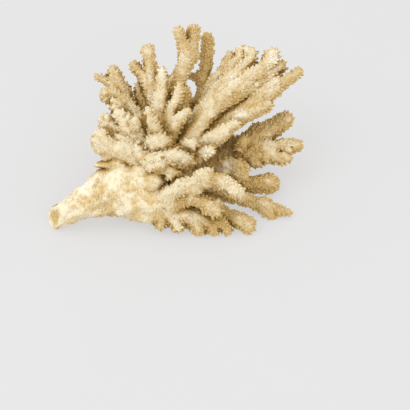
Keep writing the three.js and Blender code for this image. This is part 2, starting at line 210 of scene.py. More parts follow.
CUP_ROOM = 7.0  # square millimetres of skin to each cup
CUP_RADIUS = 1.12
CUP_RISE = 2.5  # a cup's height over the skin, before wear
CUP_RADII, CUP_RISES = (0.78, 1.18), (0.6, 1.15)  # least and most, as shares of those two
CUP_LEAN = math.radians(50)  # towards the tip
CUP_UPRIGHT = 4.0  # nearer to the tip than this, cups lean less and less
CUP_SIDES = 6
CUP_STRAY = 0.18  # how far a cup may be from its even place, in cups' rooms
CUP_CLEAR, CUP_CLEAR_AT = 0.55, 0.9  # room that a cup needs, and how far above the skin
CUP_BEHIND_CUT = 1.0  # cups end this far behind the cut's plane
CROWNING_RADIUS = 1.5  # of the cup on a twig's very tip
CROWNING_RISE = 1.2
SKIN_UNDER_CUPS = 0.78  # share of a cup's rise by which the skin lies under the cups' tops
THIN_TWIG = 0.42  # most of a twig's radius that its cups take up
LIT_AND_WORN_SIDE = np.array([-0.45, 0.4, 0.8])  # the side the light comes from, lighter in colour there as painted light, and the side that hands have worn
WORN_OFF = 0.4  # share of a cup's rise that is gone where it faces LIT_AND_WORN_SIDE
WORN_OFF_HEART = 0.15  # the same, on the knobs of the heart
# A cup's outline from its foot over the rim to the floor of its mouth: share of its radius, share of its
# rise, and a mark that is low at the foot and in the mouth, where the material paints shade, and highest at
# the rim.
CUP_OUTLINE = np.array([
    (1.25, -0.25, 0.0), (1.00, 0.25, 0.3), (0.82, 0.65, 0.7),
    (0.62, 0.98, 1.0), (0.38, 0.97, 0.6), (0.22, 0.65, 0.0),
])
CUP_FLOOR = 0.6  # share of the cup's rise at which its mouth ends
CUP_CELL = 3.0  # side of a cup's patch in the flat layout of a piece
CUP_FLAT = 0.47, 0.08  # radii of its outer and inner ring there, in sides
MOUTH_EDGE, MOUTH_FLOOR = -0.8, -1.0  # mark of the cup's last ring and of its floor: below 0, inside the mouth, where the material paints shade
LINE_STEPS = 48  # points of a twig's line to each span between stations
OUTLINE_STEP = 0.25
SKIN_STEP = 0.95  # grid spacing on a limb's skin
POLE_STRIP = 0.002  # share of a skin's flat layout kept for the triangles at each end
BALLS = 30  # balls that stand for a twig when room is measured
WEB = 8.5  # how far two limbs reach out to each other where they fuse
WEB_HEIGHT = 2.6
ROOM_ENOUGH = 9.0  # room is not measured beyond this
AT_ONCE = 1024  # points measured at a time
CROWDED_AT = (3.0, 0.35), (6.0, 0.5), (8.5, 0.6)  # distance out from the skin, and its weight
STILL_OPEN = 0.2  # share of the room out there that may be missing before it counts
# Height and wavelength of the lumps.
LUMPS = {"trunk": (1.0, 10), "heart_upper": (0.9, 8), "heart_lower": (0.9, 8)}
PLAIN_LUMPS = 0.4, 10
WAVES = 9
GOLDEN_ANGLE = math.pi * (3 - math.sqrt(5))

# Short side twigs, too small to be solids of their own: how many to try on each twig of a limb.
SPRIGS = {
    "left_horn": 3, "left_shoulder": 4, "left_stub": 3, "fan_back": 2, "great_bough": 2, "right_bough": 3,
    "right_prong": 3, "right_knob": 4, "front_bough": 3, "front_spur": 2, "foot_cluster": 3,
    "back_crown": 3, "back_left": 3, "back_right": 3,
}
# Ridges where two twigs have fused along their length.
FUSED = [
    ["great_bough", [146, 91, -25, 3.5], [157, 97.5, -27, 4.5], [167, 104, -31, 4]],
    ["left_shoulder", [64, 64, -8, 6], [55, 70, -10, 6], [46, 76, -12, 4.5]],
    ["left_stub", [62, 52, 2, 6.5], [52, 55.5, 3, 6], [43, 59, 3, 4.5]],
]
SPRIG_SPAN = 0.42, 0.93  # part of the twig that they grow on
SPRIG_LEAN = math.radians(42)
SPRIG_LENGTH = 3.5, 6.5
SPRIG_RADIUS = 2.2, 3.0
SPRIG_TIP = 0.68  # share of its radius
SPRIG_ROOM = 0.6, 2.0  # room that it needs at its root and at its tip
SPRIG_SEED = 500


# ---- lines, skins and the room between them ----

def catmull_rom(stations, t):
    """The cubic through the stations at parameter t: with p0..p3 the four stations round t and f the share
    of the way from p1 to p2, half of
    (2 p1 + (p2 - p0) f + (2 p0 - 5 p1 + 4 p2 - p3) f^2 + (3 p1 - p0 - 3 p2 + p3) f^3)."""
    ends = np.vstack([2 * stations[0] - stations[1], stations, 2 * stations[-1] - stations[-2]])
    first = np.clip(t.astype(int), 0, len(stations) - 2)
    f = (t - first)[:, None]
    p0, p1, p2, p3 = (ends[first + i] for i in range(4))
    return 0.5 * (2 * p1 + (p2 - p0) * f + (2 * p0 - 5 * p1 + 4 * p2 - p3) * f**2
                  + (3 * p1 - p0 - 3 * p2 + p3) * f**3)


class Twig:
    """One twig's line and skin. Its line is the curve through its stations; its skin is a tube round the
    line that ends in half an ellipse, so a point of it is fixed by a run along the outline and an angle
    round."""

    def __init__(self, number, row):
        self.number = number
        self.limb = row[0]
        stations = np.array(row[1:], float)
        line = catmull_rom(stations, np.linspace(0, len(stations) - 1, LINE_STEPS * (len(stations) - 1) + 1))
        self.line, self.radius = line[:, :3], line[:, 3]
        self.run = np.r_[0, np.cumsum(np.linalg.norm(np.diff(self.line, axis=0), axis=1))]
        self.length = self.run[-1]
        self.tip = stations[-1][3]
        self.rise = CUP_RISE * LEFT_OF_CUPS.get(self.limb, 1.0)
        self.along = np.gradient(self.line, self.run, axis=0)
        self.along /= np.linalg.norm(self.along, axis=1)[:, None]
        steady = np.eye(3)[np.abs(self.along).max(axis=0).argmin()]
        self.across = steady - (self.along @ steady)[:, None] * self.along
        self.across /= np.linalg.norm(self.across, axis=1)[:, None]
        self.other = np.cross(self.along, self.across)
        self.outline()

    def at(self, values, s):
        """A quantity kept along the line, read at distance s by straight interpolation."""
        return np.stack([np.interp(s, self.run, values[:, i]) for i in range(3)], axis=-1)

    def outline(self):
        """The skin's outline as distance along the line, distance from it, and lean of the normal towards
        the tip: the line's radius less the cups' rise, closed by a quarter ellipse."""
        turn = max(self.length - max(self.tip, 1.5), 0.3 * self.length)
        side = np.linspace(0, turn, max(int(turn / OUTLINE_STEP), 4))
        radius = np.interp(side, self.run, self.radius)
        radius = radius - SKIN_UNDER_CUPS * np.minimum(self.rise, THIN_TWIG * radius)
        reach = self.length - SKIN_UNDER_CUPS * min(self.rise, THIN_TWIG * self.tip) - turn
        bend = np.linspace(0, math.pi / 2, 24)[1:]
        self.out_s = np.r_[side, turn + reach * np.sin(bend)]
        self.out_r = np.r_[radius, radius[-1] * np.cos(bend)]
        self.out_lean = np.r_[np.zeros(len(side)), bend]
        steps = np.hypot(np.diff(self.out_s), np.diff(self.out_r))
        self.out_run = np.r_[0, np.cumsum(steps)]

    def skin(self, run, angle, first=0.0):
        """Points, outward normals and directions to the tip at a run along the outline and an angle round
        it: centre plus radius times (cos angle across + sin angle other), the normal leaning to the tip as
        the outline does. first is where the skin starts along the line, by which every distance along it is
        squeezed."""
        s = np.interp(run, self.out_run, self.out_s)
        s = first + s * (self.length - first) / self.length
        r = np.interp(run, self.out_run, self.out_r)
        lean = np.interp(run, self.out_run, self.out_lean)[..., None]
        if np.ndim(first):
            r = np.interp(s, self.out_s, self.out_r)
        spoke = (np.cos(angle)[..., None] * self.at(self.across, s)
                 + np.sin(angle)[..., None] * self.at(self.other, s))
        along = self.at(self.along, s)
        points = self.at(self.line, s) + r[..., None] * spoke
        normals = np.cos(lean) * spoke + np.sin(lean) * along
        return points, normals, np.cos(lean) * along - np.sin(lean) * spoke

    def balls(self):
        """Centres and radii of balls strung along the line that fill the skin."""
        s = np.linspace(0, self.out_s[-1] - self.out_r[self.out_lean == 0][-1], BALLS)
        return np.column_stack([self.at(self.line, s), np.interp(s, self.out_s, self.out_r)])


def lay_down(points):
    """From the growth frame in millimetres to the colony lying on its side, in metres: turned about x by
    LAY_BACK, moved so that the middle of the cut is where the record has it."""
    c, s = math.cos(LAY_BACK), math.sin(LAY_BACK)
    turned = points @ np.array([[1, 0, 0], [0, c, s], [0, -s, c]])
    return turned * MM + CUT_CENTRE


def string_balls(twigs):
    """The balls of all twigs in one array, with the twig's number last."""
    rows = [np.column_stack([twig.balls(), np.full(BALLS, twig.number)]) for twig in twigs]
    return np.vstack(rows).astype(np.float32)


twigs = [Twig(number, row) for number, row in enumerate(TWIGS)]
balls = string_balls(twigs)


def room(points, number):
    """Distance from each point to the skin of the nearest other twig: the least, over every ball of the
    twigs but this one, of the distance to its centre less its radius, and never more than ROOM_ENOUGH. The
    points are taken in runs of AT_ONCE, each against the balls that come near its box."""
    flat = points.reshape(-1, 3).astype(np.float32)
    others = balls[balls[:, 4] != number]
    least = np.full(len(flat), ROOM_ENOUGH, np.float32)
    for start in range(0, len(flat), AT_ONCE):
        part = flat[start:start + AT_ONCE]
        reach = others[:, 3:4] + ROOM_ENOUGH
        near = others[((others[:, :3] + reach > part.min(axis=0))
                       & (others[:, :3] - reach < part.max(axis=0))).all(axis=1)]
        if len(near):
            square = ((part**2).sum(axis=1)[:, None] - 2 * part @ near[:, :3].T
                      + (near[:, :3]**2).sum(axis=1))
            gap = (np.sqrt(np.maximum(square, 0)) - near[:, 3]).min(axis=1)
            least[start:start + AT_ONCE] = np.minimum(gap, ROOM_ENOUGH)
    return least.reshape(points.shape[:-1]).astype(float)


def lumps(points, wavelength, seed):
    """Sum of sine waves of about one wavelength, with seeded directions and phases, over the square root
    of their number: mostly -1 to 1."""
    rng = np.random.default_rng(seed)
    waves = rng.normal(size=(WAVES, 3))
    waves /= np.linalg.norm(waves, axis=1)[:, None]
    waves *= 2 * math.pi / (wavelength * rng.uniform(0.7, 1.5, WAVES)[:, None])
    return np.sin(points @ waves.T + rng.uniform(0, 2 * math.pi, WAVES)).sum(axis=-1) / math.sqrt(WAVES)


def swell(points, number, limb):
    """How far the skin stands out from its plain tube: lumps, and where another twig is near a web of
    WEB_HEIGHT (1 - distance / WEB)^2, which is how two round shapes melt into one."""
    gap = np.clip(np.abs(room(points, number)) / WEB, 0, 1)
    height, wavelength = LUMPS.get(limb, PLAIN_LUMPS)
    return WEB_HEIGHT * (1 - gap)**2 + height * lumps(points, wavelength, SEED)


def crowding(points, normals, number):
    """0 in the open to 1 deep between limbs, the mask of the painted shade there: the weighted sum, over the
    distances of CROWDED_AT, of the share by which there is less room that far out than in the open."""
    shut = [weight * np.clip((far - room(points + far * normals, number)) / far - STILL_OPEN, 0, 1)
            for far, weight in CROWDED_AT]
    return np.clip(shut[0] + shut[1] + shut[2], 0, 1)


def tan_at(twig, run, points, normals):
    """The limb's tan, growing with the square root of the way to the tip, with painted light and shade on
    top: less tan where the skin faces the light, more where it turns away and where another limb stands at
    one of SHADE_REACHES towards the light and casts painted shade on it."""
    tan = TAN.get(twig.limb, TAN_BEHIND)
    shade = np.max([np.clip(1 - room(points + far * LIT_AND_WORN_SIDE + 3 * normals, twig.number) / ROOM_ENOUGH, 0, 1)
                    for far in SHADE_REACHES], axis=0)
    # Painted light: how far the skin faces the light, less where painted shade falls.
    lit_share = np.maximum(normals @ LIT_AND_WORN_SIDE, FACING_AWAY) * (1 - SHADE_STOPS * shade)
    painted_light_weight = PAINTED_LIGHT_ON_STEM if twig.limb == "trunk" else PAINTED_LIGHT
    return (tan * (TAN_AT_ROOT + TAN_TO_TIP * np.sqrt(np.clip(run / twig.out_run[-1], 0, 1)))
            + painted_light_weight * (PAINTED_LIGHT_NEUTRAL - lit_share) + SHADED_TAN * shade)


def sprigs_on(twig, count):
    """Rows for short side twigs: golden angles round and evenly up the outer part of a twig, each leaning to
    its tip, leaving out those that would grow into another twig or out of the solids' box."""
    rng = np.random.default_rng(SEED + SPRIG_SEED + twig.number)
    run = twig.out_run[-1] * (np.linspace(*SPRIG_SPAN, count) + rng.uniform(-0.05, 0.05, count))
    angle = GOLDEN_ANGLE * np.arange(count) + rng.uniform(0, 2 * math.pi)
    root, normal, forward = twig.skin(run, angle)
    heading = math.cos(SPRIG_LEAN) * normal + math.sin(SPRIG_LEAN) * forward
    length = rng.uniform(*SPRIG_LENGTH, count)[:, None]
    radius = rng.uniform(*SPRIG_RADIUS, count)[:, None]
    tip = root + length * heading
    reached = lay_down(tip + radius * heading)
    low, high = np.array(CAD_BOX[0]) + 1.2 * MM, np.array(CAD_BOX[1]) - 0.6 * MM
    free = ((room(root + normal, twig.number) > SPRIG_ROOM[0])
            & (room(tip, twig.number) > SPRIG_ROOM[1])
            & (reached > low).all(axis=1) & (reached < high).all(axis=1))
    stations = np.stack([
        np.hstack([root - 1.5 * normal, radius]),
        np.hstack([root + 0.45 * length * heading, radius]),
        np.hstack([tip, SPRIG_TIP * radius]),
    ], axis=1)
    return [[twig.limb, *row] for row in stations[free].tolist()]


twigs += [Twig(len(twigs) + i, row) for i, row in enumerate(FUSED)]
for twig in [twig for twig in twigs[:len(TWIGS)] if twig.limb in SPRIGS]:
    for row in sprigs_on(twig, SPRIGS[twig.limb]):
        twigs.append(Twig(len(twigs), row))
balls = string_balls(twigs)


# ---- surfaces ----

def grid_faces(rows, columns):
    """Quads of a grid of rows and columns that closes round its columns, and each corner's place in the
    unit square."""
    i, j = np.meshgrid(np.arange(rows - 1), np.arange(columns), indexing="ij")
    k = (j + 1) % columns
    this, above = i * columns, (i + 1) * columns
    quads = np.stack([this + j, this + k, above + k, above + j], axis=-1)
    u, v = j / columns, i / (rows - 1)
    du, dv = 1 / columns, 1 / (rows - 1)
    uv = np.stack([np.stack([u, v], -1), np.stack([u + du, v], -1), np.stack([u + du, v + dv], -1),
                   np.stack([u, v + dv], -1)], axis=-2)
    return quads.reshape(-1, 4), uv.reshape(-1, 4, 2)


def fan_faces(ring, columns, pole, outward, v, v_pole):
    """Triangles from a ring of points to one pole, and their corners' places in the unit square."""
    j = np.arange(columns)
    left, right = (j, j + 1) if outward else (j + 1, j)
    tris = np.stack([ring + left % columns, ring + right % columns, np.full(columns, pole)], axis=-1)
    uv = np.stack([np.stack([left / columns, np.full(columns, v)], -1),
                   np.stack([right / columns, np.full(columns, v)], -1),
                   np.stack([(j + 0.5) / columns, np.full(columns, v_pole)], -1)], axis=1)
    return tris, uv


def disc_faces(radii, columns):
    """Quads and triangles that join rings of points and close them with one last point, and every point's
    place in the unit square: the rings round its middle at these radii, the last point in the middle."""
    rows = len(radii)
    quads, _ = grid_faces(rows, columns)
    tris, _ = fan_faces((rows - 1) * columns, columns, rows * columns, True, 0, 1)
    turn = 2 * math.pi * np.arange(columns) / columns
    uv = 0.5 + radii[:, None, None] * np.stack([np.cos(turn), np.sin(turn)], axis=-1)
    return quads, tris, np.vstack([uv.reshape(-1, 2), [0.5, 0.5]])


def columns_round(twig):
    """How many grid lines run along a twig's skin."""
    return max(int(2 * math.pi * twig.out_r.max() / SKIN_STEP), 8)


def angles_round(columns):
    """The angles of those lines."""
    return np.linspace(0, 2 * math.pi, columns, endpoint=False)


def skin_patch(twig, first=0.0, closed=True):
    """The skin as a grid of runs by angles, swollen along its normals and closed by a pole at the tip and,
    if closed, at the root too. first is the distance along the line, for every angle, at which it starts."""
    rows = max(int(twig.out_run[-1] / SKIN_STEP), 6)
    columns = columns_round(twig)
    run = twig.out_run[-1] * np.linspace(0, 1, rows)
    run[-1] -= 0.35 * (run[-1] - run[-2])  # so that the last ring isn't on the pole
    run, angle = np.meshgrid(run, angles_round(columns), indexing="ij")
    points, normals, _ = twig.skin(run, angle, np.broadcast_to(first, run.shape) if np.ndim(first) else first)
    points = points + normals * swell(points, twig.number, twig.limb)[..., None]
    deep = crowding(points, normals, twig.number)
    crest, crest_normal, _ = twig.skin(np.array([twig.out_run[-1]]), np.zeros(1))
    crest = crest[0] + crest_normal[0] * swell(crest, twig.number, twig.limb)[0]
    quads, quad_uv = grid_faces(rows, columns)
    count = rows * columns
    tris, tri_uv = fan_faces(count - columns, columns, count, True, 1 - POLE_STRIP / 2, 1.0)
    ends = [crest]
    if closed:
        foot, foot_uv = fan_faces(0, columns, count + 1, False, POLE_STRIP / 2, 0.0)
        tris, tri_uv = np.vstack([tris, foot]), np.vstack([tri_uv, foot_uv])
        ends.append(points[0].mean(axis=0))
    tan = tan_at(twig, run, points, normals)
    return {
        "points": np.vstack([points.reshape(-1, 3), ends]),
        "quads": quads, "quad_uv": quad_uv * [1, 1 - 2 * POLE_STRIP] + [0, POLE_STRIP],
        "tris": tris, "tri_uv": tri_uv,
        "tan": np.r_[tan.ravel(), [tan[-1, 0], tan[0, 0]][:len(ends)]],
        "rise": np.zeros(count + len(ends)),
        "deep": np.r_[deep.ravel(), [deep[-1].mean(), deep[0].mean()][:len(ends)]],
        "cut": np.zeros(count + len(ends)),
        "size": (2 * math.pi * twig.out_r.max(), twig.out_run[-1]),
    }


def cup_places(twig):
    """Where a twig's cups stand: cup k is at the run that leaves k + 1/2 cups' room of skin below it, and k
    golden angles round, with a little scatter, so neighbours keep an even distance. Cups inside another twig
    or over the cut go."""
    rng = np.random.default_rng(SEED + twig.number)
    skin_area = np.r_[0, np.cumsum(math.pi * (twig.out_r[1:] + twig.out_r[:-1]) * np.diff(twig.out_run))]
    count = int(skin_area[-1] / CUP_ROOM)
    k = np.arange(count) + 0.5 + rng.uniform(-CUP_STRAY, CUP_STRAY, count)
    run = np.interp(k * skin_area[-1] / count, skin_area, twig.out_run)
    angle = k * GOLDEN_ANGLE + rng.uniform(-0.12, 0.12, count)
    points, normals, forward = twig.skin(run, angle)
    points = points + normals * swell(points, twig.number, twig.limb)[:, None]
    share = run / twig.out_run[-1]
    size = CUP_RADIUS * rng.uniform(*CUP_RADII, count) * (0.92 + 0.12 * share)
    rise = twig.rise * rng.uniform(*CUP_RISES, count) * (0.7 + 0.35 * np.sqrt(share))
    worn_off = WORN_OFF_HEART if twig.limb.startswith("heart") else WORN_OFF
    rise *= 1 - worn_off * np.clip(normals @ LIT_AND_WORN_SIDE, 0, 1) ** 2
    thin = np.clip(np.interp(run, twig.out_run, np.minimum(1, twig.out_r / 4 + 0.35)), 0.6, 1)
    keep = room(points + normals * CUP_CLEAR_AT, twig.number) > CUP_CLEAR
    if twig.number == 0:
        keep &= points @ CUT_FACING < -CUP_BEHIND_CUT
    lean = CUP_LEAN * np.clip((twig.out_run[-1] - run) / CUP_UPRIGHT, 0.1, 1)
    return {key: value[keep] for key, value in {
        "points": points, "normals": normals, "forward": forward, "run": run,
        "size": size * thin, "rise": rise * thin, "lean": lean,
        "turn": rng.uniform(0, 2 * math.pi, count),
    }.items()}


def crowning_cup(twig):
    """The larger cup on a twig's very tip, in line with it."""
    run = np.array([twig.out_run[-1]])
    point, normal, forward = twig.skin(run, np.zeros(1))
    point = point + normal * swell(point, twig.number, twig.limb)[:, None]
    return {"points": point - 0.1 * normal, "normals": normal, "forward": forward, "run": run,
            "size": np.array([min(CROWNING_RADIUS, 0.42 * twig.tip)]),
            "rise": np.array([min(CROWNING_RISE, 0.35 * twig.tip)]),
            "lean": np.zeros(1), "turn": np.zeros(1)}


def cup_patch(twig, places):
    """All of a twig's cups in one array: each is CUP_OUTLINE turned round an axis that starts along the
    skin's normal and leans towards the tip as it rises, closed by a point at the bottom of its mouth. In the
    flat layout each has a square of its own, with its rings round the middle."""
    count = len(places["size"])
    share = np.r_[CUP_OUTLINE[:, 1], CUP_FLOOR][None, :]
    radial = np.r_[CUP_OUTLINE[:, 0], 0.0][None, :] * places["size"][:, None]
    rise = share * places["rise"][:, None]
    tilt = (places["lean"][:, None] * np.clip(share, 0, 1))[..., None]
    normal, forward = places["normals"][:, None, :], places["forward"][:, None, :]
    axis = np.cos(tilt) * normal + np.sin(tilt) * forward
    # Its line bends as it rises, so it has leant less on the way up than at the top.
    drift = np.cos(tilt * 0.7) * normal + np.sin(tilt * 0.7) * forward
    centre = places["points"][:, None, :] + rise[..., None] * drift
    front = np.cos(tilt) * forward - np.sin(tilt) * normal
    side = np.cross(axis, front)
    angle = 2 * math.pi * np.arange(CUP_SIDES)[None, None, :] / CUP_SIDES + places["turn"][:, None, None]
    spoke = (np.cos(angle)[..., None] * front[:, :-1, None, :]
             + np.sin(angle)[..., None] * side[:, :-1, None, :])
    ring = centre[:, :-1, None, :] + radial[:, :-1, None, None] * spoke
    points = np.concatenate([ring.reshape(count, -1, 3), centre[:, -1:, :]], axis=1)
    each = points.shape[1]
    quads, floor, flat = disc_faces(np.linspace(*CUP_FLAT, len(CUP_OUTLINE)), CUP_SIDES)
    start = (np.arange(count) * each)[:, None, None]
    columns = math.ceil(math.sqrt(count))
    rows = math.ceil(count / columns)
    cell = np.stack([np.arange(count) % columns, np.arange(count) // columns], axis=-1)[:, None, :]
    uv = ((cell + flat[None]) / [columns, rows]).reshape(-1, 2)
    quads = (quads[None] + start).reshape(-1, 4)
    tris = (floor[None] + start).reshape(-1, 3)
    # This is the mark the material reads to paint shade at a cup's foot and in its mouth.
    light = np.r_[np.repeat(CUP_OUTLINE[:, 2], CUP_SIDES), MOUTH_FLOOR]
    light[-1 - CUP_SIDES:-1] = MOUTH_EDGE
    tan = tan_at(twig, places["run"], places["points"], places["normals"])
    deep = crowding(places["points"], places["normals"], twig.number)
    return {
        "points": points.reshape(-1, 3),
        "quads": quads, "quad_uv": uv[quads],
        "tris": tris, "tri_uv": uv[tris],
        "tan": np.repeat(tan, each),
        "rise": np.tile(light, count),
        "deep": np.repeat(deep, each),
        "cut": np.zeros(count * each),
        "size": (columns * CUP_CELL, rows * CUP_CELL),
    }


CUT_SEARCH = 30  # length of stem in which the cut is looked for
CUT_WIDTH, CUT_FLAT = 17.0, 0.49  # width, and radius in the flat layout in widths
CUT_PIT_DEPTH = 0.12
CUT_PIT_SIZE = 2.2
CUT_EDGE = 0.3  # the skin stops this far behind the cut, for a small worn edge


def cut_start(twig):
    """Distance along the stem's line at which its skin meets the plane of the cut, for every angle round."""
    columns = columns_round(twig)
    run = np.linspace(0, CUT_SEARCH, 8 * CUT_SEARCH + 1)
    grid_run, grid_angle = np.meshgrid(run, angles_round(columns), indexing="ij")
    side = twig.skin(grid_run, grid_angle)[0] @ CUT_FACING
    first = (side < 0).argmax(axis=0)
    j = np.arange(columns)
    before, after = side[first - 1, j], side[first, j]
    return run[first - 1] + (run[1] - run[0]) * before / (before - after)


def cut_patch(edge):
    """The flat cut face: the stem's first ring drawn in to its middle on the cut's plane, in rings spaced so
    that the outermost makes a small worn edge, and pitted by low lumps."""
    columns = len(edge)
    flat = edge - (edge @ CUT_FACING)[:, None] * CUT_FACING
    middle = flat.mean(axis=0)
    share = np.r_[1.0, 0.975, 0.95, np.linspace(0.9, 0.08, 12)]
    ring = middle + share[:, None, None] * (flat - middle)
    ring[0] = edge
    wear = CUT_PIT_DEPTH * lumps(ring, CUT_PIT_SIZE, SEED + 3) - CUT_PIT_DEPTH
    ring[2:] += (wear[2:] * np.clip((1 - share[2:, None]) * 8, 0, 1))[..., None] * CUT_FACING
    quads, tris, uv = disc_faces(CUT_FLAT * share, columns)
    quads, tris = quads[:, ::-1], tris[:, ::-1]
    points = np.vstack([ring.reshape(-1, 3), middle - 0.1 * CUT_FACING])
    count = len(points)
    core = np.clip((1 - share) * 1.6, 0, 1) * 0.8 + 0.2 * (share < 0.99)
    return {
        "points": points,
        "quads": quads, "quad_uv": uv[quads],
        "tris": tris, "tri_uv": uv[tris],
        "tan": np.full(count, 0.3),
        "rise": np.full(count, 0.5),
        "deep": np.zeros(count),
        "cut": np.r_[np.repeat(core, columns), 1.0],
        "size": (CUT_WIDTH, CUT_WIDTH),
    }


# ---- putting patches together ----

LAYOUT_MARGIN = 0.4


def lay_out(sizes):
    """Corners for boxes of the given sizes in a square, in rows of falling height, and the square's side,
    which grows until the rows fit."""
    sizes = np.array(sizes) + 2 * LAYOUT_MARGIN
    order = np.argsort(-sizes[:, 1])
    side = math.sqrt((sizes[:, 0] * sizes[:, 1]).sum())
    while True:
        side *= 1.03
        corners, x, y, tall = np.zeros_like(sizes), 0.0, 0.0, 0.0
        for i in order:
            if x + sizes[i, 0] > side:
                x, y, tall = 0.0, y + tall, 0.0
            corners[i] = x, y
            x += sizes[i, 0]
            tall = max(tall, sizes[i, 1])
        if y + tall <= side and sizes[:, 0].max() <= side:
            return corners + LAYOUT_MARGIN, side


def add_object(name, data):
    """A new object of the scene, made of the given data."""
    thing = bpy.data.objects.new(name, data)
    bpy.context.scene.collection.objects.link(thing)
    return thing


# What each point carries: its limb's tan with painted light and shade, how far up a cup it is (below 0 in the
# mouth) and how deep between limbs, both of which paint shade, and how far in on the cut face.
MARKS = "tan", "rise", "deep", "cut"


def make_piece(name, patches, material):
    """One mesh from patches of quads and triangles, with the marks that its material reads. Points past the
    solids' box are drawn in to it, which makes the coral flat where it rests."""
    starts = np.r_[0, np.cumsum([len(patch["points"]) for patch in patches])]
    corners, side = lay_out([patch["size"] for patch in patches])
    loops, uvs, totals = [], [], []
    for patch, start, corner in zip(patches, starts, corners):
        for kind, width in (("quad", 4), ("tri", 3)):
            faces = patch[kind + "s"]
            loops.append((faces + start).ravel())
            uvs.append(((patch[kind + "_uv"] * patch["size"] + corner) / side).reshape(-1, 2))
            totals.append(np.full(len(faces), width))
    loops, uvs, totals = np.concatenate(loops), np.vstack(uvs), np.concatenate(totals)
    mesh = bpy.data.meshes.new(name)
    mesh.vertices.add(int(starts[-1]))
    placed = np.clip(lay_down(np.vstack([patch["points"] for patch in patches])), *CAD_BOX)
    mesh.vertices.foreach_set("co", placed.ravel())
    mesh.loops.add(len(loops))
    mesh.loops.foreach_set("vertex_index", loops.astype(np.int32))
    mesh.polygons.add(len(totals))
    mesh.polygons.foreach_set("loop_start", np.r_[0, np.cumsum(totals)[:-1]].astype(np.int32))
    mesh.polygons.foreach_set("use_smooth", np.ones(len(totals), bool))
    for mark in MARKS:
        values = np.concatenate([patch[mark] for patch in patches]).astype(np.float32)
        mesh.attributes.new(mark, "FLOAT", "POINT").data.foreach_set("value", values)
    layer = mesh.uv_layers.new(name="OFBake")
    layer.data.foreach_set("uv", uvs.astype(np.float32).ravel())
    mesh.materials.append(material)
    mesh.update(calc_edges=True)
    mesh.validate()
    return add_object(name, mesh)


def limb_patches(limb):
    """Skins and cups of every twig of one limb. The stem's skin starts at its cut, which has its own face."""
    patches = []
    for twig in (twig for twig in twigs if twig.limb == limb):
        if twig.number == 0:
            skin = skin_patch(twig, first=cut_start(twig) + CUT_EDGE, closed=False)
            patches += [skin, cut_patch(skin["points"][:columns_round(twig)])]
        else:
            patches.append(skin_patch(twig))
        for places in (cup_places(twig), crowning_cup(twig)):
            if len(places["size"]):
                patches.append(cup_patch(twig, places))
    return patches


# ---- finishes ----

CREAM = (0.83, 0.755, 0.56, 1)
PALE = (0.90, 0.86, 0.72, 1)
TAN_BUFF = (0.62, 0.445, 0.185, 1)
# The brown of the painted shade between cups, in mouths and pores and among the limbs, and its darkest,
# deepest among them.
BROWN = (0.37, 0.225, 0.05, 1)
DEEP_SHADE_BROWN = (0.20, 0.11, 0.018, 1)
CORE_TAN = (0.60, 0.42, 0.17, 1)
CORE_BROWN = (0.33, 0.20, 0.06, 1)
# How fine the patterns are, in features to the metre.
PALE_PATCHES = 48.0
TAN_PATCHES = 75.0
CORE_CLOUDS = 330.0
TAN_FLECKS = 420.0
CORE_PITS = 900.0
# most darkening that the painted shade gives
DARKEST_SHADE = 0.92
# roughness where nothing is darkened, and where the painted shade is darkest
PLAIN_ROUGHNESS, SHADED_ROUGHNESS = 0.72, 0.9
MATT_SPECULAR = 0.2
BUMP_STRENGTH = 0.55
BUMP_DEPTH = 0.0004


def group_tree(name, inputs, outputs):
    """An empty node group with the named sockets, and its input and output nodes."""
    tree = bpy.data.node_groups.new(name, "ShaderNodeTree")
    for label, kind, value in inputs:
        socket = tree.interface.new_socket(label, in_out="INPUT", socket_type=kind)
        if value is not None:
            socket.default_value = value
    for label, kind in outputs:
        tree.interface.new_socket(label, in_out="OUTPUT", socket_type=kind)
    return tree, tree.nodes.new("NodeGroupInput"), tree.nodes.new("NodeGroupOutput")


def put(tree, kind, inputs=(), **settings):
    """A node with its settings, and its inputs set to a value or linked from a socket."""
    node = tree.nodes.new(kind)
    for key, value in settings.items():
        setattr(node, key, value)
    for key, value in dict(inputs).items():
        if isinstance(value, bpy.types.NodeSocket):
            tree.links.new(value, node.inputs[key])
        else:
            node.inputs[key].default_value = value
    return node


def reckon(tree, operation, a, b):
    """One step of arithmetic on two values or sockets."""
    return put(tree, "ShaderNodeMath", {0: a, 1: b}, operation=operation).outputs[0]


def sum_of(tree, *terms):
    """Adds the given values or sockets."""
    total = terms[0]
    for term in terms[1:]:
        total = reckon(tree, "ADD", total, term)
    return total


def times(tree, a, b):
    """One value or socket times another."""
    return reckon(tree, "MULTIPLY", a, b)


def noise(tree, place, scale, detail, roughness=0.5):
    """A cloudy pattern of values round 0.5, with scale features to the metre."""
    inputs = {"Vector": place, "Scale": scale, "Detail": detail, "Roughness": roughness}
    return put(tree, "ShaderNodeTexNoise", inputs).outputs[0]


def between(tree, value, low, high, to_low=0.0, to_high=1.0):
    """Maps low..high of a value to to_low..to_high, clamped, with a soft start and end."""
    inputs = {"Value": value, "From Min": low, "From Max": high, "To Min": to_low, "To Max": to_high}
    return put(tree, "ShaderNodeMapRange", inputs, interpolation_type="SMOOTHSTEP").outputs[0]


def blend(tree, share, a, b):
    """Colour a turned into colour b by a share. The node's sockets 6 and 7 are its two colours."""
    return put(tree, "ShaderNodeMix", {0: share, 6: a, 7: b}, data_type="RGBA").outputs[2]


def mark(tree, name):
    """The value that each point of the mesh carries under this name."""
    return put(tree, "ShaderNodeAttribute", attribute_type="GEOMETRY", attribute_name=name).outputs["Fac"]


